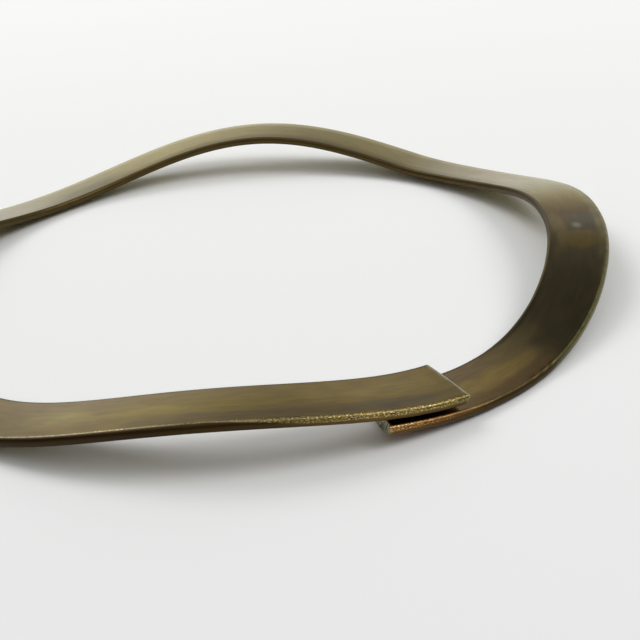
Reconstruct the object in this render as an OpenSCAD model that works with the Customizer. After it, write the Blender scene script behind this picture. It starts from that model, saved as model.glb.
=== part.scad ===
// Wave spring washer: one turn of flat steel wire, coiled on edge, waved, with overlapping ends.
// Millimetres, +Z up. The origin is on the ring's axis, in the plane its valleys rest on.

/* [Wire] */
// Outside diameter of the coiled ring
outer_diameter = 61; // [50:0.5:75]
// Width of the flat wire, from the bore to the rim
wire_width = 4.9; // [3.5:0.1:6]
// Thickness of the flat wire at the middle of its width
wire_thickness = 0.8; // [0.5:0.05:1]
// How far each face falls away from its middle towards the edges
face_crown = 0.04; // [0:0.01:0.08]
// How far the rolled rounding runs in from each edge of the wire
edge_rounding = 0.33; // [0.15:0.01:0.45]

/* [Waves] */
// Number of waves round the ring
wave_count = 4; // [3:1:6]
// Rise from valley to crest along the middle of the wire
wave_height = 3; // [2:0.1:4]
// Angle of the first crest, counted from the right hand side
first_crest = -6.6; // [-20:0.2:20]
// How far the wire stands above even waves past the first crest, 0 for a ring of even waves
stray_rise = 0.5; // [0:0.02:0.8]
// Arc past the first crest over which it does so
stray_arc = 57; // [30:1:70]

/* [Ends] */
// Arc over which the upper end lies above the lower end
overlap = 11.6; // [5:0.2:16]
// Arc from the tip of the lower end to the valley it rests in
lower_tail = 22; // [16:0.5:30]
// How far the tip of the lower end hangs below the line of the waves
lower_drop = 0.57; // [0.35:0.01:0.9]
// What the upper end climbs above the line of the waves, past one wire thickness
upper_gap = 0.16; // [0.1:0.02:0.6]
// Arc over which the upper end makes its climb
upper_climb = 57; // [50:1:90]
// How far the lip of a sheared end stands out past the opposite lip
shear_lean = 0.25; // [0:0.05:0.4]
// Edge broken off round each sheared end
end_bevel = 0.12; // [0.05:0.01:0.2]

/* [Hidden] */
steel_color = [0.45, 0.40, 0.28];
mean_radius = (outer_diameter - wire_width) / 2;
valley = first_crest - 180 / wave_count;
lower_end = valley - lower_tail;
upper_end = lower_end + 360 + overlap;
upper_rise = wire_thickness + upper_gap;
// Sections stand half a step off every crest, so that each crest is capped by a level facet
sections_per_wave = 40;
arc_step = 360 / wave_count / sections_per_wave;
edge_facets = 6;
face_facets = 5;
edge_start = wire_width / 2 - edge_rounding;
bevel_arc = end_bevel / mean_radius * 180 / PI;
// Arc kept free of other sections at each end, past the bevel and the leaning cut
end_arc = (2 * end_bevel + shear_lean) / mean_radius * 180 / PI;

// One edge of the wire, rounded over from face to face
function wire_edge(side) = [
    for (i = [0 : edge_facets])
        let (turn = 90 - 180 * i / edge_facets)
            [
                side * (edge_start + edge_rounding * cos(turn)),
                side * (wire_thickness / 2 - face_crown) * sin(turn)
            ]
];

// One crowned face of the wire between its edges: side 1 is the lower face, side -1 the upper
function wire_face(side) = [
    for (i = [1 : face_facets - 1])
        let (x = side * edge_start * (1 - 2 * i / face_facets))
            [x, -side * (wire_thickness / 2 - face_crown * pow(x / edge_start, 2))]
];

// The closed outline of the wire: rim edge, lower face, bore edge, upper face
wire_outline = concat(wire_edge(1), wire_face(1), wire_edge(-1), wire_face(-1));
outline_count = len(wire_outline);

// Share of an end's set that is left at a distance from its tip, none beyond the arc
function fade(distance, arc) = pow(1 - min(max(distance / arc, 0), 1), 2);

// How far the wave has fallen from its crest line at an angle
function wave_fall(angle) = wave_height / 2 * (1 - cos(wave_count * (angle - first_crest)));

// How far the wire stands above even waves at an angle, level in the middle of the stray arc
function wave_stray(angle) =
    let (reach = min(abs(2 * (angle - first_crest) / stray_arc - 1), 1))
        stray_rise * pow(1 - pow(reach, 3), 2);

// Height of the middle of the wire at an angle, with the set of its two ends
function wire_height(angle) =
    wave_height - wave_fall(angle) + wave_stray(angle)
    - lower_drop * fade(angle - lower_end, lower_tail)
    + upper_rise * fade(upper_end - angle, upper_climb);

// Climb of the wire along its length at an angle
function wire_slope(angle) =
    atan((wire_height(angle + 0.5) - wire_height(angle - 0.5)) / (mean_radius * PI / 180));

// The waves grow with the radius, so the wire is level across a crest and leans outward in a valley
function wire_lean(angle) = -atan(wave_fall(angle) / mean_radius);

// The outline set in space at an angle; shrink is taken off all round, lean_end tips a sheared face
function section_at(angle, shrink, lean_end) =
    let (
        slope = wire_slope(angle),
        lean = wire_lean(angle),
        across = 1 - 2 * shrink / wire_width,
        through = 1 - 2 * shrink / wire_thickness
    )
    [
        for (p = wire_outline)
            let (
                x = p[0] * across,
                y = p[1] * through,
                out = x * cos(lean) - y * sin(lean),
                up = x * sin(lean) + y * cos(lean),
                along = lean_end * y / wire_thickness - up * sin(slope),
                radius = mean_radius + out
            )
                [
                    radius * cos(angle) - along * sin(angle),
                    radius * sin(angle) + along * cos(angle),
                    wire_height(angle) + up * cos(slope)
                ]
    ];

first_step = ceil((lower_end + end_arc - first_crest) / arc_step - 0.5);
last_step = floor((upper_end - end_arc - first_crest) / arc_step - 0.5);
step_count = last_step - first_step + 1;

raw_points = concat(
    section_at(lower_end, end_bevel, shear_lean),
    section_at(lower_end + bevel_arc, 0, shear_lean),
    [for (i = [first_step : last_step]) each section_at(first_crest + (i + 0.5) * arc_step, 0, 0)],
    section_at(upper_end - bevel_arc, 0, shear_lean),
    section_at(upper_end, end_bevel, shear_lean)
);
lowest = min([for (p = raw_points) p[2]]);
wire_points = [for (p = raw_points) [p[0], p[1], p[2] - lowest]];
last_section = step_count + 3;

wire_sides = [
    for (i = [0 : last_section - 1], j = [0 : outline_count - 1])
        let (
            k = (j + 1) % outline_count,
            a = i * outline_count + j,
            b = i * outline_count + k,
            c = (i + 1) * outline_count + k,
            d = (i + 1) * outline_count + j
        )
            each [[a, b, c], [a, c, d]]
];
lower_cut = [[for (j = [outline_count - 1 : -1 : 0]) j]];
upper_cut = [[for (j = [0 : outline_count - 1]) last_section * outline_count + j]];

module spring() {
    color(steel_color)
        polyhedron(points = wire_points, faces = concat(wire_sides, lower_cut, upper_cut), convexity = 12);
}

spring();
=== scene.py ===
import math

import bpy
import numpy as np
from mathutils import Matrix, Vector, noise


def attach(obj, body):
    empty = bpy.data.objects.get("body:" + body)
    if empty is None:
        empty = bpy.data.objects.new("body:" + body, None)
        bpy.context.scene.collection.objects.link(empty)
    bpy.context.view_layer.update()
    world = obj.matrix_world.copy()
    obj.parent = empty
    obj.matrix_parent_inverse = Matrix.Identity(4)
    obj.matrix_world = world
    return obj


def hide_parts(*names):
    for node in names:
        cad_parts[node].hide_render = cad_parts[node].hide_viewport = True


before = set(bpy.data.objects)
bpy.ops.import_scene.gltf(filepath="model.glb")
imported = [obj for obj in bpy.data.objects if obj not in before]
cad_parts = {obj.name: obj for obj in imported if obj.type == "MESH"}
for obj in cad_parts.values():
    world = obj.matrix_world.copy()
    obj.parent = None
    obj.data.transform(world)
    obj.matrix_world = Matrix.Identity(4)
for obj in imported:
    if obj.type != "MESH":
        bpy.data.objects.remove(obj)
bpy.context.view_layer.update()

# Spring: one turn of flat spring steel wire with rolled edges, coiled on edge and pressed into four
# waves. Its ends are sheared off and pass over each other. Heat treatment left it tinted olive brown
# and gold, with the mill's streaks running along the wire. It has no other piece on it.

MM = 0.001

wire_width = 4.89
wire_thickness = 0.79
face_crown = 0.04
wave_count = 4
wave_height = 3.0
first_crest = -6.6
stray_rise = 0.5
stray_arc = 57.0
overlap = 11.6
lower_tail = 22.0
lower_drop = 0.57
upper_rise = 0.96
upper_climb = 57.0
shear_lean = 0.25
mean_radius = 28.05
lower_end = first_crest - 180 / wave_count - lower_tail
upper_end = lower_end + 360 + overlap
mm_per_degree = mean_radius * math.pi / 180
wire_length = (upper_end - lower_end) * mm_per_degree

# Each edge bulges between two small rounded corners, where it turns off by this angle from the faces
edge_turn = math.radians(50)
corner_radius = 0.2
edge_height = wire_thickness / 2 - face_crown
bulge_radius = (edge_height - corner_radius * (1 - math.cos(edge_turn))) / math.cos(edge_turn)
corner_x = wire_width / 2 - bulge_radius * (1 - math.sin(edge_turn))
edge_start = corner_x - corner_radius * math.sin(edge_turn)


def fade(distance, arc):
    """Share of an end's set that is left at a distance from its tip."""
    return (1 - np.clip(distance / arc, 0, 1)) ** 2


def wave_fall(angle):
    """How far the wave has fallen from its crest line at an angle."""
    return wave_height / 2 * (1 - np.cos(np.radians(wave_count * (angle - first_crest))))


def wave_stray(angle):
    """How far the wire stands above even waves at an angle, past the first crest."""
    reach = np.clip(np.abs(2 * (angle - first_crest) / stray_arc - 1), 0, 1)
    return stray_rise * (1 - reach**3) ** 2


def wire_height(angle):
    """Height of the middle of the wire at an angle, with the set of its two ends."""
    lower = lower_drop * fade(angle - lower_end, lower_tail)
    upper = upper_rise * fade(upper_end - angle, upper_climb)
    return wave_height - wave_fall(angle) + wave_stray(angle) - lower + upper


# Outline of the wire, from the middle of the underside out over the rim, the top and the bore edge
face_points = 11
corner_points = 5
bulge_points = 11
near_corner = np.array([0.18, 0.13, 0.09, 0.045, 0.0])
face_span = edge_start - 0.24
face_x = np.append(np.linspace(0, face_span, face_points), edge_start - near_corner)
face_y = wire_thickness / 2 - face_crown * (face_x / edge_start) ** 2
corner_turns = np.linspace(0, edge_turn, corner_points)[1:]
corner_edge_x = edge_start + corner_radius * np.sin(corner_turns)
corner_edge_y = edge_height - corner_radius * (1 - np.cos(corner_turns))
bulge_turns = np.linspace(edge_turn, math.pi - edge_turn, bulge_points)[1:-1]
bulge_x = wire_width / 2 - bulge_radius * (1 - np.sin(bulge_turns))
bulge_y = bulge_radius * np.cos(bulge_turns)
half_x = np.concatenate([face_x, corner_edge_x, bulge_x, corner_edge_x[::-1], face_x[::-1]])
half_y = np.concatenate([-face_y, -corner_edge_y, -bulge_y, corner_edge_y[::-1], face_y[::-1]])
outline_x = np.concatenate([half_x, -half_x[-2:0:-1]])
outline_y = np.concatenate([half_y, half_y[-2:0:-1]])
outline_count = len(outline_x)

# Distance across the wire on its skin in mm: 0 on the middle of the top, growing towards the rim
skin_steps = np.hypot(
    np.diff(outline_x, append=outline_x[0]), np.diff(outline_y, append=outline_y[0])
)
skin_run = np.concatenate([[0], np.cumsum(skin_steps)])
skin_across = skin_run[-1] / 2 - skin_run

# Stations along the wire in mm, close together at the two sheared ends
tip_stations = np.array([0, 0.02, 0.05, 0.09, 0.14, 0.2, 0.28, 0.4, 0.55, 0.7, 0.9])
run_start = 1.1
run_count = 900
run_stations = np.linspace(run_start, wire_length - run_start, run_count)
stations = np.concatenate([tip_stations, run_stations, wire_length - tip_stations[::-1]])
station_count = len(stations)
angles = lower_end + stations / mm_per_degree
from_tip = np.minimum(stations, wire_length - stations)
heights = wire_height(angles)
climbs = wire_height(angles + 0.5) - wire_height(angles - 0.5)
slopes = np.arctan(climbs / mm_per_degree)
leans = -np.arctan(wave_fall(angles) / mean_radius)

# The shears drag the faces over a little before they cut, and hardly touch the width
tip_run = 0.16
tip_depth = 0.07
tip_narrowing = 0.02
tip_turn = 1 - np.sqrt(1 - (1 - np.clip(from_tip / tip_run, 0, 1)) ** 2)
lean_run = 0.9
lean_ends = shear_lean * np.clip(1 - from_tip / lean_run, 0, 1)

# Coiling and waving leave the faces and the rim a few hundredths of a millimetre out of true
ripple_depth = 0.014
ripple_length = 5.0
ripple_width = 2.2
rim_ripple_depth = 0.03
rim_ripple_length = 1.6
ripple = np.zeros((station_count, outline_count))
rim_ripple = np.zeros((station_count, 1))
for i in range(station_count):
    rim_spot = Vector((stations[i] / rim_ripple_length, 7.0, 0.0))
    rim_ripple[i] = rim_ripple_depth * (noise.noise(rim_spot) - 1) / 2
    for j in range(outline_count):
        side = math.copysign(3.0, outline_y[j])
        spot = Vector((stations[i] / ripple_length, outline_x[j] / ripple_width, side))
        ripple[i, j] = ripple_depth * (noise.noise(spot) - 1) / 2
face_share = np.clip((wire_width / 2 - np.abs(outline_x)) / (wire_width / 2 - edge_start), 0, 1)
rim_share = np.clip((np.abs(outline_x) - edge_start) / (wire_width / 2 - edge_start), 0, 1)

section_x = outline_x * (1 - 2 * tip_narrowing * tip_turn[:, None] / wire_width)
section_x = section_x + rim_ripple * rim_share * np.sign(outline_x)
section_y = outline_y * (1 - 2 * tip_depth * tip_turn[:, None] / wire_thickness)
section_y = section_y + ripple * face_share * np.sign(outline_y)

# Knocks on the rim's upper corner: angle, half length and depth in mm
knocks = [
    (-50.0, 0.3, 0.05),
    (-47.5, 0.35, 0.06),
    (-45.6, 0.3, 0.06),
    (-36.5, 0.3, 0.02),
    (262.0, 0.4, 0.03),
]
corner_reach = 0.22
corner_near = np.exp(-((outline_x - corner_x) ** 2 + (outline_y - edge_height) ** 2) / corner_reach**2)
knocked = np.zeros(station_count)
deepest_knock = max(depth for place, half_length, depth in knocks)
for place, half_length, depth in knocks:
    along_knock = np.exp(-(((angles - place) * mm_per_degree / half_length) ** 2))
    knocked = np.maximum(knocked, along_knock * depth / deepest_knock)
    section_x = section_x - depth * along_knock[:, None] * corner_near
    section_y = section_y - depth * along_knock[:, None] * corner_near

out = section_x * np.cos(leans)[:, None] - section_y * np.sin(leans)[:, None]
up = section_x * np.sin(leans)[:, None] + section_y * np.cos(leans)[:, None]
forth = lean_ends[:, None] * section_y / wire_thickness - up * np.sin(slopes)[:, None]

# Burrs that the shears left at corners of the cut: which end, place on the section, size in mm
burr_reach = 0.13
burr_run = 0.1
burr_lift = 0.4
burrs = [(1, 2.32, 0.3, 0.1), (-1, 2.36, 0.28, 0.12), (-1, 2.32, -0.32, 0.1)]
for end, burr_x, burr_y, size in burrs:
    end_distance = stations if end == -1 else wire_length - stations
    at_end = np.clip(1 - end_distance / burr_run, 0, 1)[:, None]
    burr = size * at_end * np.exp(
        -((outline_x - burr_x) ** 2 + (outline_y - burr_y) ** 2) / burr_reach**2
    )
    forth = forth + end * burr
    up = up + burr_lift * burr
turn_cos = np.cos(np.radians(angles))[:, None]
turn_sin = np.sin(np.radians(angles))[:, None]
skin_points = np.stack(
    [
        (mean_radius + out) * turn_cos - forth * turn_sin,
        (mean_radius + out) * turn_sin + forth * turn_cos,
        heights[:, None] + up * np.cos(slopes)[:, None],
    ],
    axis=-1,
)

points = [tuple(p) for p in skin_points.reshape(-1, 3)]
faces = []
face_maps = []
for i in range(station_count - 1):
    for j in range(outline_count):
        k = (j + 1) % outline_count
        here = i * outline_count
        there = here + outline_count
        faces.append((here + j, here + k, there + k, there + j))
        face_maps.append(
            (
                (stations[i], skin_across[j]),
                (stations[i], skin_across[j + 1]),
                (stations[i + 1], skin_across[j + 1]),
                (stations[i + 1], skin_across[j]),
            )
        )
skin_face_count = len(faces)

# The two cut faces, each a grid of columns from the underside to the top, between rim and bore edge
cut_rows = 10
cut_roughness = 0.03
mark_width = 0.2
mark_slant = 1.5
quarter = outline_count // 4
half = outline_count // 2
cut_bottoms = list(range(quarter - 1, -1, -1)) + list(range(outline_count - 1, half + quarter, -1))
cut_tops = list(range(quarter + 1, half + quarter))
for end_station in (0, station_count - 1):
    first = end_station * outline_count
    outward = -1 if end_station == 0 else 1
    turn = math.radians(angles[end_station])
    tangent = np.array([-math.sin(turn), math.cos(turn), 0.0])
    columns = []
    column_maps = []
    for bottom, top in zip(cut_bottoms, cut_tops):
        low = np.array(points[first + bottom])
        high = np.array(points[first + top])
        column = [first + bottom]
        for row in range(1, cut_rows):
            share = row / cut_rows
            mark_spot = Vector((outline_x[top] / mark_width, share * mark_slant, 3.0 + outward))
            mark = noise.noise(mark_spot)
            step = tangent * outward * cut_roughness * (mark - 1) * math.sin(math.pi * share)
            column.append(len(points))
            points.append(tuple(low + (high - low) * share + step))
        column.append(first + top)
        columns.append(column)
        tall = outline_y[top] - outline_y[bottom]
        column_maps.append(
            [(outline_x[top], outline_y[bottom] + tall * r / cut_rows) for r in range(cut_rows + 1)]
        )
    rim_point = first + quarter
    bore_point = first + half + quarter
    cut_faces = []
    cut_maps = []
    for row in range(cut_rows):
        cut_faces.append((rim_point, columns[0][row], columns[0][row + 1]))
        cut_maps.append(((wire_width / 2, 0.0), column_maps[0][row], column_maps[0][row + 1]))
        cut_faces.append((columns[-1][row], bore_point, columns[-1][row + 1]))
        cut_maps.append(
            (column_maps[-1][row], (-wire_width / 2, 0.0), column_maps[-1][row + 1])
        )
    for c in range(len(columns) - 1):
        for row in range(cut_rows):
            cut_faces.append(
                (columns[c][row], columns[c + 1][row], columns[c + 1][row + 1], columns[c][row + 1])
            )
            cut_maps.append(
                (
                    column_maps[c][row],
                    column_maps[c + 1][row],
                    column_maps[c + 1][row + 1],
                    column_maps[c][row + 1],
                )
            )
    if outward == -1:
        cut_faces = [face[::-1] for face in cut_faces]
        cut_maps = [spots[::-1] for spots in cut_maps]
    faces.extend(cut_faces)
    face_maps.extend(cut_maps)


def linear(colour):
    """An sRGB hex colour as linear red, green and blue."""
    shares = [int(colour[n : n + 2], 16) / 255 for n in (1, 3, 5)]
    return [s / 12.92 if s <= 0.04045 else ((s + 0.055) / 1.055) ** 2.4 for s in shares]


# Oxide left by the heat treatment, as colours that run into one another along the wire, with painted
# light in them. Each stop is an angle and the colour there, for the faces, for the rim's upper corner and
# for the rest of the rim. The corner's colours are mostly a painted highlight over the oxide; the rest of
# the rim is oxide with painted light, lighter on the right, and painted shade, darkest at the front on
# the left.
face_tint = [
    (-46.0, "#887350"),
    (-42.0, "#63593E"),
    (-18.0, "#63593E"),
    (-10.0, "#5E5232"),
    (-4.0, "#665020"),
    (2.0, "#826E20"),
    (8.0, "#96863C"),
    (14.0, "#968C49"),
    (30.0, "#9E8E5A"),
    (44.0, "#8A7A42"),
    (56.0, "#8A7A38"),
    (72.0, "#7E6E26"),
    (88.0, "#887832"),
    (104.0, "#96884A"),
    (122.0, "#847842"),
    (232.0, "#7A6840"),
    (262.0, "#7E6D42"),
    (272.0, "#7C6A3A"),
    (282.0, "#887440"),
    (298.0, "#8E7A48"),
]
# Painted highlight over the oxide: the pale, gold and copper line along the rim's upper corner
corner_oxide_and_highlight = [
    (-74.0, "#9A662C"),
    (-68.0, "#8A5C2E"),
    (-62.0, "#785C36"),
    (-56.0, "#6C5E3C"),
    (-46.0, "#6C603E"),
    (-42.0, "#544E32"),
    (-36.0, "#585436"),
    (-18.0, "#767048"),
    (-10.0, "#948B66"),
    (-4.0, "#9B926D"),
    (2.0, "#9B926D"),
    (8.0, "#B0A67C"),
    (14.0, "#B8AE84"),
    (30.0, "#C4B98C"),
    (44.0, "#B8AE80"),
    (104.0, "#B8AE80"),
    (122.0, "#C4B98A"),
    (232.0, "#A89E78"),
    (248.0, "#A89E78"),
    (262.0, "#9A8E60"),
    (272.0, "#74663A"),
    (282.0, "#806C38"),
    (290.0, "#846E38"),
    (298.0, "#7A6A36"),
]
# Oxide with painted light and shade: lighter where the lamps fall on the rim on the right, darker at the
# front on the left
rim_oxide_and_painted_light = [
    (-74.0, "#725426"),
    (-68.0, "#664C24"),
    (-62.0, "#544222"),
    (-56.0, "#45381F"),
    (-46.0, "#483C24"),
    (-42.0, "#666040"),
    (-36.0, "#7A744C"),
    (-18.0, "#868056"),
    (-10.0, "#7C7555"),
    (-4.0, "#8A835F"),
    (2.0, "#8A835F"),
    (8.0, "#988F68"),
    (14.0, "#9C946C"),
    (30.0, "#A69E73"),
    (44.0, "#8C8458"),
    (104.0, "#8C8458"),
    (122.0, "#968E5F"),
    (232.0, "#3A2C1A"),
    (248.0, "#3A2C1A"),
    (262.0, "#3C2E1A"),
    (272.0, "#463620"),
    (282.0, "#6A5430"),
    (290.0, "#6A5430"),
    (298.0, "#66522E"),
]
oxide_and_painted_light_along = np.zeros((station_count, 3, 3))
for zone, tint in enumerate((face_tint, corner_oxide_and_highlight, rim_oxide_and_painted_light)):
    tint_places, tint_colours = zip(*tint)
    tint_shades = np.array([linear(colour) for colour in tint_colours])
    for channel in range(3):
        oxide_and_painted_light_along[:, zone, channel] = np.interp(angles, tint_places, tint_shades[:, channel])

# The corner's colour lies as a line on the skin, a painted highlight, wide on the grainy rim of the two
# ends and narrow where only
# the corner itself catches the light: angle along the wire, then where the line starts and stops, in mm
# across
corner_soft = 0.05
rim_soft = 0.08
corner_highlight_lines = [
    (-74.0, 2.1, 2.62),
    (-64.0, 2.1, 2.5),
    (-56.0, 2.02, 2.24),
    (-46.0, 2.02, 2.24),
    (-40.0, 2.05, 2.42),
    (130.0, 2.05, 2.42),
    (232.0, 1.99, 2.11),
    (264.0, 1.99, 2.11),
    (276.0, 2.1, 2.6),
    (298.0, 2.1, 2.6),
]
point_across = skin_across[:-1]
rim_start = edge_start - 0.2
bore_soft = 0.1
line_places, line_starts, line_stops = zip(*corner_highlight_lines)
line_start = np.interp(angles, line_places, line_starts)[:, None]
line_stop = np.interp(angles, line_places, line_stops)[:, None]
corner_highlight_share = np.clip((point_across - line_start) / corner_soft, 0, 1) * (outline_x > 0)
rim_low = np.clip((point_across - line_stop) / rim_soft, 0, 1) * (outline_x > rim_start)
bore_share = np.clip((-outline_x - edge_start) / bore_soft + 1, 0, 1)[None, :, None]

# The corner's painted highlight is broken up unevenly along the wire, and dimmed at its knocks
highlight_break_depth = 0.5
highlight_break_length = 0.45
knock_shade = 0.7
for i in range(station_count):
    highlight_break = 1 + highlight_break_depth * noise.noise(Vector((stations[i] / highlight_break_length, 0.0, 5.0)))
    oxide_and_painted_light_along[i, 1] *= highlight_break * (1 - knock_shade * knocked[i])
# Colour on the skin: the oxide, with the painted highlight on the corner and painted light and shade on
# the rim laid over it
oxide_and_painted_light = np.repeat(oxide_and_painted_light_along[:, :1], outline_count, axis=1)
oxide_and_painted_light = oxide_and_painted_light + corner_highlight_share[:, :, None] * (oxide_and_painted_light_along[:, 1:2] - oxide_and_painted_light)
oxide_and_painted_light = oxide_and_painted_light + rim_low[:, :, None] * (oxide_and_painted_light_along[:, 2:3] - oxide_and_painted_light)
oxide_and_painted_light = oxide_and_painted_light + bore_share * (np.array(linear("#534629")) - oxide_and_painted_light)

# Patches where the oxide grew thicker or thinner, and a few of painted light and shade: angle, mm across
# from the middle of the top, half arc, half width in mm, softness of the border, colour and strength
border_wander = 0.3
wander_length = 1.6
wander_width = 0.7
oxide_and_painted_light_patches = [
    (-53.0, 0.35, 8.6, 0.9, 0.45, "#A28A4E", 0.9),
    (-52.0, 1.7, 8.0, 0.6, 0.6, "#7C643C", 0.8),
    (-45.0, -1.1, 6.0, 0.9, 0.6, "#8A7A50", 0.65),
    (-38.0, -2.15, 11.0, 0.3, 0.5, "#4C4630", 0.7),
    (-14.4, 0.4, 3.0, 1.5, 0.2, "#76632E", 0.9),
    (-12.0, -1.5, 7.0, 0.6, 0.5, "#7E6C38", 0.7),
    (-15.0, -2.0, 4.0, 0.4, 0.6, "#4A4028", 0.7),
    (-8.3, 0.7, 3.2, 1.2, 0.3, "#5A503A", 0.9),
    (-9.8, 0.0, 0.9, 0.3, 0.8, "#A8A48C", 0.7),
    (-8.0, 2.0, 10.0, 0.5, 0.6, "#584A26", 0.6),
    # Painted highlight: a pale band along the outer side of the top, from the right round to the back
    (70.0, 2.0, 64.0, 0.5, 0.8, "#BEB27C", 0.7),
    # Painted shade: darker bands along the bore side of the top at the back, this one and the next
    (75.0, -2.0, 62.0, 0.6, 0.7, "#5E4E24", 0.7),
    (28.0, -1.9, 8.0, 0.5, 0.6, "#74663A", 0.6),
    (122.0, -1.3, 8.0, 1.0, 0.7, "#665A2C", 0.85),
    (243.5, 0.0, 4.5, 0.9, 0.8, "#988A4C", 0.65),
    (257.0, 0.1, 6.0, 0.8, 0.8, "#928244", 0.6),
    (268.0, 0.1, 5.0, 0.9, 0.8, "#88763A", 0.6),
    (289.0, -0.3, 9.0, 0.9, 0.7, "#988550", 0.7),
    (260.0, 1.5, 6.0, 0.7, 0.8, "#6E6044", 0.7),
    (274.0, 1.5, 9.0, 0.7, 0.8, "#6A5A42", 0.7),
    (289.0, 1.5, 7.0, 0.6, 0.7, "#6C604E", 0.8),
]
wander = np.zeros((station_count, outline_count))
for i in range(station_count):
    for j in range(outline_count):
        spot = Vector((stations[i] / wander_length, outline_x[j] / wander_width, 11.0))
        wander[i, j] = border_wander * noise.noise(spot)
on_top = (outline_y > 0) & (np.abs(outline_x) < edge_start)
for place, across, half_arc, half_width, softness, colour, strength in oxide_and_painted_light_patches:
    far = np.hypot(((angles - place) / half_arc)[:, None], (outline_x - across) / half_width) + wander
    patch = np.clip((1 + softness - far) / (2 * softness), 0, 1)
    patch = strength * patch**2 * (3 - 2 * patch) * on_top
    oxide_and_painted_light = oxide_and_painted_light + patch[:, :, None] * (np.array(linear(colour)) - oxide_and_painted_light)

# A bare line of grey metal where the shears broke the oxide at the cuts, uneven in width
bare_run = 0.17
bare_rim_share = 0.3
bare_near = np.clip(1.5 - from_tip[:, None] / (bare_run * (1 + 2 * wander)), 0, 1)
bare_near = bare_near * np.where(outline_x > edge_start, bare_rim_share, 1.0)
oxide_and_painted_light = oxide_and_painted_light + bare_near[:, :, None] * (np.array(linear("#B4AE9C")) - oxide_and_painted_light)

# Painted glints: where the grain of the rim shows as specks of light on the corner's line, drawn as pale
# specks in its colour and as
# grain in its bumps: angle and strength
glint_run = [
    (-74.0, 0.8),
    (-69.0, 0.6),
    (-64.0, 0.15),
    (-45.0, 0.05),
    (130.0, 0.05),
    (232.0, 0.6),
    (262.0, 0.5),
    (276.0, 0.5),
    (284.0, 0.8),
    (292.0, 0.8),
    (298.0, 0.5),
]
speck_places, speck_strengths = zip(*glint_run)
glint_along = np.interp(angles, speck_places, speck_strengths)
rim = np.tile(np.clip((np.abs(outline_x) - edge_start) / corner_soft + 1, 0, 1), (station_count, 1))
glints_and_grain = glint_along[:, None] * corner_highlight_share * (1 - rim_low)

lowest = min(p[2] for p in points)
points = [(p[0] * MM, p[1] * MM, (p[2] - lowest) * MM) for p in points]
mesh = bpy.data.meshes.new("spring_wire")
mesh.from_pydata(points, [], faces)
wire_map = mesh.uv_layers.new(name="wire")
wire_map.data.foreach_set("uv", [value for spots in face_maps for spot in spots for value in spot])
oxide_and_painted_light_layer = mesh.attributes.new("oxide_and_painted_light", "FLOAT_VECTOR", "POINT")
oxide_and_painted_light_layer.data.foreach_set("vector", np.append(oxide_and_painted_light.ravel(), np.zeros(3 * len(points) - oxide_and_painted_light.size)))
rim_layer = mesh.attributes.new("rim", "FLOAT", "POINT")
rim_layer.data.foreach_set("value", np.append(rim.ravel(), np.zeros(len(points) - rim.size)))
speck_layer = mesh.attributes.new("glints_and_grain", "FLOAT", "POINT")
speck_layer.data.foreach_set("value", np.append(glints_and_grain.ravel(), np.zeros(len(points) - glints_and_grain.size)))
mesh.polygons.foreach_set("use_smooth", [True] * len(faces))
mesh.polygons.foreach_set("material_index", [int(n >= skin_face_count) for n in range(len(faces))])
cut_borders = set(range(outline_count))
cut_borders.update(range((station_count - 1) * outline_count, station_count * outline_count))
for edge in mesh.edges:
    a, b = edge.vertices
    edge.use_edge_sharp = a in cut_borders and b in cut_borders and abs(a - b) in (1, outline_count - 1)
spring = bpy.data.objects.new("spring_wire", mesh)
bpy.context.scene.collection.objects.link(spring)
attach(spring, "root")
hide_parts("spring")


def add_node(tree, kind, settings, inputs):
    """Adds a node with its settings; each input is a value, or an output of another node to link to."""
    node = tree.nodes.new(kind)
    for name, setting in settings.items():
        setattr(node, name, setting)
    for socket, given in inputs.items():
        if isinstance(given, bpy.types.NodeSocket):
            tree.links.new(given, node.inputs[socket])
        else:
            node.inputs[socket].default_value = given
    return node


# Spring steel, cold rolled and heat tinted: satin metal under a thin oxide whose colours run along the
# wire, with a painted highlight on the rim's corner and painted light and shade on the rim among them.
# The rolls left soft streaks along the faces and a grainy skin on the rim, which breaks the light into
# specks near the ends, painted there as pale glints as well.
steel = bpy.data.materials.new("spring_steel_rolled_heat_tinted")
steel.use_nodes = True
tree = steel.node_tree
tree.nodes.clear()
wire = add_node(tree, "ShaderNodeUVMap", {"uv_map": "wire"}, {})
oxide_and_painted_light_here = add_node(tree, "ShaderNodeAttribute", {"attribute_name": "oxide_and_painted_light"}, {})
rim_here = add_node(tree, "ShaderNodeAttribute", {"attribute_name": "rim"}, {})
glints_and_grain_here = add_node(tree, "ShaderNodeAttribute", {"attribute_name": "glints_and_grain"}, {})

# Patterns by length and width of their marks in mm: roll streaks and blotches in the oxide on the faces,
# and the grain of the rim, all drawn coarse enough to show
patterns = {}
for name, length, width, detail in (
    ("streak", 5.0, 0.13, 3.0),
    ("blotch", 1.8, 0.5, 3.0),
    ("grain", 0.13, 0.1, 1.0),
):
    place = add_node(
        tree,
        "ShaderNodeVectorMath",
        {"operation": "MULTIPLY"},
        {0: wire.outputs[0], 1: (1 / length, 1 / width, 0)},
    )
    pattern = add_node(
        tree,
        "ShaderNodeTexNoise",
        {"noise_dimensions": "2D"},
        {"Vector": place.outputs[0], "Scale": 1.0, "Detail": detail},
    )
    patterns[name] = pattern.outputs[0]

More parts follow.
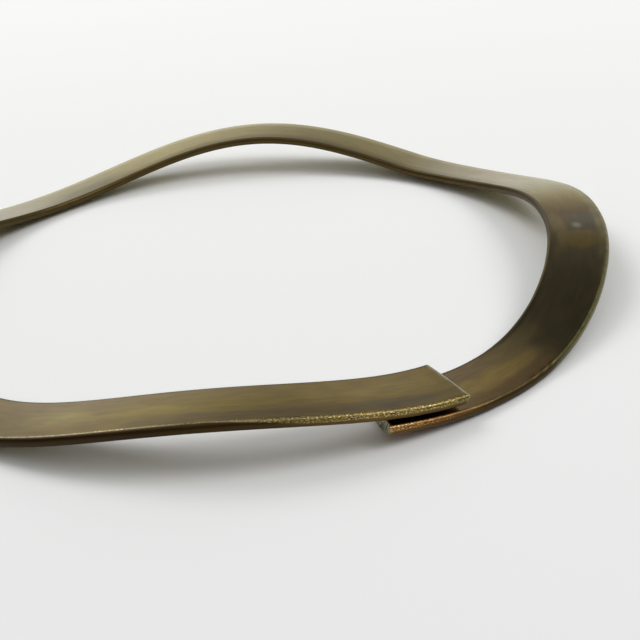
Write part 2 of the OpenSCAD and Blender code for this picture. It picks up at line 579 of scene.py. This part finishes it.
# The oxide is warmer and lighter in some blotches, cooler and darker in others, and darker in the streaks
shade = oxide_and_painted_light_here.outputs["Color"]
for name, low, high, low_shade, high_shade in (
    ("blotch", 0.3, 0.7, (0.92, 0.93, 0.98), (1.07, 1.06, 1.0)),
    ("streak", 0.45, 0.8, (1.0, 1.0, 1.0), (0.88, 0.87, 0.87)),
):
    shading = add_node(
        tree,
        "ShaderNodeMapRange",
        {"data_type": "FLOAT_VECTOR", "interpolation_type": "SMOOTHSTEP"},
        {
            6: patterns[name],
            7: (low, low, low),
            8: (high, high, high),
            9: low_shade,
            10: high_shade,
        },
    )
    shaded = add_node(
        tree, "ShaderNodeVectorMath", {"operation": "MULTIPLY"}, {0: shade, 1: shading.outputs[1]}
    )
    shade = shaded.outputs[0]
smooth = {"interpolation_type": "SMOOTHSTEP"}
grain_tops = add_node(tree, "ShaderNodeMapRange", smooth, {0: patterns["grain"], 1: 0.5, 2: 0.7})
times = {"operation": "MULTIPLY"}
# Painted glints: pale specks mixed into the colour where the grain stands high
painted_glint_share = add_node(
    tree, "ShaderNodeMath", times, {0: grain_tops.outputs[0], 1: glints_and_grain_here.outputs["Fac"]}
)
colour = add_node(
    tree,
    "ShaderNodeMix",
    {"data_type": "RGBA"},
    {0: painted_glint_share.outputs[0], 6: shade, 7: linear("#EADAA6") + [1.0]},
)
grain_height = add_node(
    tree, "ShaderNodeMath", times, {0: patterns["grain"], 1: glints_and_grain_here.outputs["Fac"]}
)
skin_height = add_node(
    tree,
    "ShaderNodeMath",
    {"operation": "MULTIPLY_ADD"},
    {0: patterns["streak"], 1: 0.2, 2: grain_height.outputs[0]},
)
grain_depth = 0.014
bumps = add_node(
    tree,
    "ShaderNodeBump",
    {},
    {"Height": skin_height.outputs[0], "Strength": 1.0, "Distance": grain_depth * MM},
)
satin = add_node(
    tree,
    "ShaderNodeMapRange",
    smooth,
    {0: patterns["streak"], 1: 0.2, 2: 0.8, 3: 0.18, 4: 0.26},
)
roughness = add_node(
    tree, "ShaderNodeMix", {}, {0: rim_here.outputs["Fac"], 2: satin.outputs[0], 3: 0.45}
)
shader = add_node(
    tree,
    "ShaderNodeBsdfPrincipled",
    {},
    {
        "Base Color": colour.outputs[2],
        "Metallic": 1.0,
        "Roughness": roughness.outputs[0],
        "Normal": bumps.outputs[0],
    },
)
add_node(tree, "ShaderNodeOutputMaterial", {}, {0: shader.outputs[0]})
mesh.materials.append(steel)

# Spring steel, sheared: bare grey green metal with the marks of the blade from face to face, by width
# and length in mm, which break its shine into bands.
blade_mark_width = 0.16
blade_mark_length = 0.6
blade_mark_depth = 0.03
cut_steel = bpy.data.materials.new("spring_steel_sheared_bare")
cut_steel.use_nodes = True
tree = cut_steel.node_tree
tree.nodes.clear()
wire = add_node(tree, "ShaderNodeUVMap", {"uv_map": "wire"}, {})
mark_place = add_node(
    tree,
    "ShaderNodeVectorMath",
    times,
    {0: wire.outputs[0], 1: (1 / blade_mark_width, 1 / blade_mark_length, 0)},
)
marks = add_node(
    tree,
    "ShaderNodeTexNoise",
    {"noise_dimensions": "2D"},
    {"Vector": mark_place.outputs[0], "Scale": 1.0, "Detail": 3.0},
)
mark_share = add_node(tree, "ShaderNodeMapRange", smooth, {0: marks.outputs[0], 1: 0.4, 2: 0.65})
greyed = add_node(
    tree,
    "ShaderNodeMix",
    {"data_type": "RGBA"},
    {0: mark_share.outputs[0], 6: linear("#66664E") + [1.0], 7: linear("#ACAC90") + [1.0]},
)
bumps = add_node(
    tree,
    "ShaderNodeBump",
    {},
    {"Height": marks.outputs[0], "Strength": 1.0, "Distance": blade_mark_depth * MM},
)
shader = add_node(
    tree,
    "ShaderNodeBsdfPrincipled",
    {},
    {"Base Color": greyed.outputs[2], "Metallic": 1.0, "Roughness": 0.4, "Normal": bumps.outputs[0]},
)
add_node(tree, "ShaderNodeOutputMaterial", {}, {0: shader.outputs[0]})
mesh.materials.append(cut_steel)

# Table: a plain matt white sheet that the spring lies on, its white painted paler towards the back as
# light that falls more strongly there. The two places between which it grows paler are in mm.
floor_reach = 3.0
sheet_front = -50
sheet_back = 110
floor_mesh = bpy.data.meshes.new("table")
floor_mesh.from_pydata(
    [
        (-floor_reach, -floor_reach, 0),
        (floor_reach, -floor_reach, 0),
        (floor_reach, floor_reach, 0),
        (-floor_reach, floor_reach, 0),
    ],
    [],
    [(0, 1, 2, 3)],
)
table = bpy.data.objects.new("table", floor_mesh)
bpy.context.scene.collection.objects.link(table)
paper = bpy.data.materials.new("paper_matt_white")
paper.use_nodes = True
tree = paper.node_tree
sheet = add_node(tree, "ShaderNodeTexCoord", {}, {})
sheet_parts = add_node(tree, "ShaderNodeSeparateXYZ", {}, {0: sheet.outputs["Object"]})
back_light_share = add_node(
    tree,
    "ShaderNodeMapRange",
    {},
    {0: sheet_parts.outputs[1], 1: sheet_front * MM, 2: sheet_back * MM},
)
# Painted light: the white grows paler towards the back
whites_with_painted_light = add_node(
    tree,
    "ShaderNodeMix",
    {"data_type": "RGBA"},
    {0: back_light_share.outputs[0], 6: linear("#EBECEB") + [1.0], 7: linear("#FAFAF8") + [1.0]},
)
paper_shader = tree.nodes["Principled BSDF"]
tree.links.new(whites_with_painted_light.outputs[2], paper_shader.inputs["Base Color"])
paper_shader.inputs["Roughness"].default_value = 0.9
paper_shader.inputs["Specular IOR Level"].default_value = 0.1
floor_mesh.materials.append(paper)

# Light: two broad soft lamps about 48 degrees up, one behind on the left and one in front on the right,
# in a room that is pale overhead and along the horizon behind, and dark between these.
lamp_reach = 0.6
lamps = [
    ("lamp_behind_left", 132.3, 49.2, 16.8, 0.99),
    ("lamp_front_right", 343.7, 46.9, 15.5, 1.04),
]
for name, bearing, rise, half_width, power in lamps:
    lamp = bpy.data.lights.new(name, "AREA")
    lamp.shape = "DISK"
    lamp.size = 2 * lamp_reach * math.tan(math.radians(half_width))
    lamp.energy = power
    lamp_object = bpy.data.objects.new(name, lamp)
    level = math.cos(math.radians(rise))
    direction = Vector(
        (
            level * math.cos(math.radians(bearing)),
            level * math.sin(math.radians(bearing)),
            math.sin(math.radians(rise)),
        )
    )
    lamp_object.location = direction * lamp_reach
    lamp_object.rotation_euler = direction.to_track_quat("Z", "Y").to_euler()
    lamp_object.visible_camera = False
    bpy.context.scene.collection.objects.link(lamp_object)

world = bpy.data.worlds.new("room")
world.use_nodes = True
tree = world.node_tree
tree.nodes.clear()
sky = add_node(tree, "ShaderNodeTexCoord", {}, {})
sky_parts = add_node(tree, "ShaderNodeSeparateXYZ", {}, {0: sky.outputs["Generated"]})

# Light of the room by degrees above the horizon, first all round, then behind the spring
room_levels = [
    [(0, 0.03), (15, 0.05), (25, 0.25), (35, 0.5), (45, 0.7), (60, 0.85), (90, 0.85)],
    [
        (0, 0.72),
        (10, 0.70),
        (15, 0.66),
        (20, 0.63),
        (24, 0.60),
        (28, 0.56),
        (31, 0.50),
        (34, 0.43),
        (38, 0.34),
        (42, 0.27),
        (46, 0.20),
        (50, 0.16),
        (56, 0.08),
        (64, 0.05),
        (74, 0.50),
        (90, 0.85),
    ],
]
room_sides = []
for levels in room_levels:
    side = add_node(tree, "ShaderNodeValToRGB", {}, {0: sky_parts.outputs[2]})
    while len(side.color_ramp.elements) < len(levels):
        side.color_ramp.elements.new(1.0)
    for element, (rise, level) in zip(side.color_ramp.elements, levels):
        element.position = math.sin(math.radians(rise))
        element.color = (level, level, level, 1.0)
    room_sides.append(side)
flat_way = add_node(
    tree, "ShaderNodeVectorMath", times, {0: sky.outputs["Generated"], 1: (1, 1, 0)}
)
way = add_node(tree, "ShaderNodeVectorMath", {"operation": "NORMALIZE"}, {0: flat_way.outputs[0]})
toward = {"operation": "DOT_PRODUCT"}

# Bearings of the pale side of the room and of its brightest part
behind_bearing = math.radians(72)
behind_left_bearing = math.radians(112)
behind = add_node(
    tree,
    "ShaderNodeVectorMath",
    toward,
    {0: way.outputs[0], 1: (math.cos(behind_bearing), math.sin(behind_bearing), 0)},
)
behind_share = add_node(
    tree,
    "ShaderNodeMapRange",
    smooth,
    {0: behind.outputs["Value"], 1: math.cos(math.radians(55)), 2: math.cos(math.radians(32))},
)
room = add_node(
    tree,
    "ShaderNodeMix",
    {"data_type": "RGBA"},
    {0: behind_share.outputs[0], 6: room_sides[0].outputs[0], 7: room_sides[1].outputs[0]},
)
behind_left = add_node(
    tree,
    "ShaderNodeVectorMath",
    toward,
    {0: way.outputs[0], 1: (math.cos(behind_left_bearing), math.sin(behind_left_bearing), 0)},
)
glow = add_node(
    tree,
    "ShaderNodeMapRange",
    smooth,
    {
        0: behind_left.outputs["Value"],
        1: math.cos(math.radians(36)),
        2: math.cos(math.radians(10)),
        3: 1.045,
        4: 1.52,
    },
)
room_light = add_node(tree, "ShaderNodeBackground", {}, {0: room.outputs[2], 1: glow.outputs[0]})
add_node(tree, "ShaderNodeOutputWorld", {}, {0: room_light.outputs[0]})
bpy.context.scene.world = world

# Camera: a long lens a hand's breadth from the spring, looking down on its overlapping ends.
camera_data = bpy.data.cameras.new("camera")
camera_data.sensor_width = 36.0
camera_data.lens = 74.70
camera_data.clip_start = 0.005
camera = bpy.data.objects.new("camera", camera_data)
camera_tilt = 63.5616
camera_roll = 4.1357
camera_turn = -5.6675
camera.location = Vector((0.0, -102.715, 46.4756)) * MM
camera.rotation_euler = [math.radians(angle) for angle in (camera_tilt, camera_roll, camera_turn)]
bpy.context.scene.collection.objects.link(camera)
bpy.context.scene.camera = camera
bpy.context.scene.view_settings.view_transform = "Standard"
